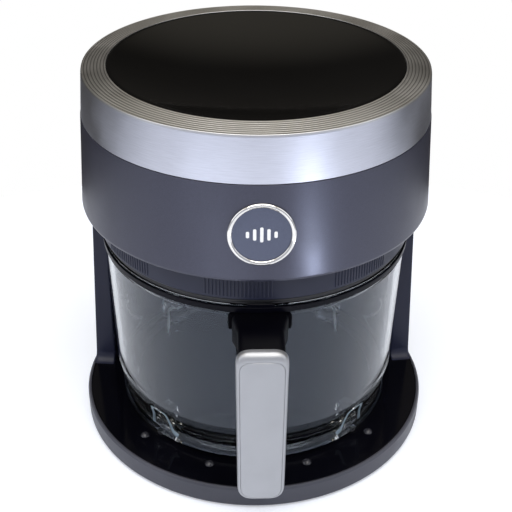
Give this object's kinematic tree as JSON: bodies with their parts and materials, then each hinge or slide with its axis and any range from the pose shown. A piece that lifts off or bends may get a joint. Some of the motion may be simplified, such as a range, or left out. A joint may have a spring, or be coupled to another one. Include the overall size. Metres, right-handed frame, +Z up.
{
  "type": "hot-air fryer",
  "caption": "Tabletop hot-air fryer: round head with heater and fan on a rear column over a round base, holding a clear glass bowl with a straight front handle.",
  "frame": {"origin": "middle of the round footprint, on the surface that the foot ring stands on", "axes": "+Z up, front and handle towards -Y, +X to the right seen from the rear column"},
  "size_m": [0.2784, 0.3057, 0.3005],
  "materials": {
    "anthracite_plastic": "satin metallic moulding",
    "anthracite_paint": "satin metallic anthracite paint",
    "black_plastic": "fine textured black",
    "gloss_black": "glossy black",
    "panel_black": "glossy black with a hard coat",
    "navy_plastic": "satin dark blue moulding",
    "collar_plastic": "satin dark moulding",
    "stud_plastic": "semi-gloss",
    "handle_black": "fine satin black",
    "white_plastic": "natural nylon",
    "satin_silver": "satin silver",
    "grip_silver": "fine blasted silver",
    "chrome": "polished",
    "badge_white": "printed white",
    "clear_glass": "clear borosilicate",
    "rubber": "matt",
    "silicone": "matt heat-resistant silicone",
    "sheet_steel": "drawn sheet steel",
    "screw_steel": "zinc plated",
    "motor_steel": "rolled steel",
    "heater_steel": "heat-tinted steel sheath",
    "sensor_brass": "turned brass",
    "cutout_ceramic": "glazed",
    "copper_winding": "enamelled copper",
    "circuit_board": "solder resist",
    "relay_blue": "moulded",
    "wire_sleeve": "silicone sleeve"
  },
  "bodies": {
    "stand": {"base_shell": "anthracite_plastic", "base_bottom_plate": "black_plastic", "base_deck": "gloss_black", "foot_ring": "rubber", "locating_studs": "stud_plastic", "bowl_rest_pads": "silicone", "base_screws": "screw_steel", "column_front_cover": "navy_plastic", "column_rear_cover": "navy_plastic", "cord_inlet": "black_plastic", "internal_wires": "wire_sleeve", "bowl_switch": "black_plastic", "head_shell": "anthracite_paint", "rear_air_grille": "black_plastic", "head_screws": "screw_steel", "trim_ring": "satin_silver", "panel_gasket": "rubber", "control_panel": "panel_black", "touch_board": "circuit_board", "display_module": "panel_black", "badge_ring": "chrome", "badge_disc": "anthracite_paint", "badge_mark": "badge_white", "chamber_ring": "black_plastic", "rim_seal": "silicone", "chamber_liner": "sheet_steel", "fan_guard": "sheet_steel", "heating_coil": "heater_steel", "coil_brackets": "sheet_steel", "temperature_sensor": "sensor_brass", "thermal_cutout": "cutout_ceramic", "motor_bracket": "sheet_steel", "motor_housing": "motor_steel", "motor_stator": "copper_winding", "motor_bearings": "screw_steel", "motor_screws": "screw_steel", "board_standoffs": "white_plastic", "power_board": "circuit_board", "power_relay": "relay_blue", "power_capacitor": "black_plastic", "power_transformer": "copper_winding"},
    "plunger": {"switch_plunger": "white_plastic"},
    "collar": {"knurled_collar": "collar_plastic"},
    "fan": {"convection_fan": "sheet_steel", "fan_nut": "sensor_brass", "motor_shaft": "screw_steel", "motor_rotor": "motor_steel", "cooling_fan": "black_plastic"},
    "bowl": {"glass_bowl": "clear_glass", "rim_band": "black_plastic", "handle_bracket": "black_plastic", "bracket_inner_pad": "silicone", "handle_screws": "screw_steel", "handle_core": "handle_black", "grip_cover": "grip_silver"}
  },
  "joints": [
    {"name": "bowl_out", "type": "slide", "parent": "stand", "child": "bowl", "axis": [0, -1, 0], "range_m": [0, 0.26]},
    {"name": "collar_turn", "type": "hinge", "parent": "stand", "child": "collar", "pos_m": [0, 0, 0.183], "axis": [0, 0, 1], "range_deg": [0, 30]},
    {"name": "fan_spin", "type": "hinge", "parent": "stand", "child": "fan", "pos_m": [0, 0, 0.22], "axis": [0, 0, 1], "continuous": true},
    {"name": "plunger_press", "type": "slide", "parent": "stand", "child": "plunger", "axis": [0, 1, 0], "range_m": [0, 0.0025], "stiffness_N_per_m": 200}
  ]
}
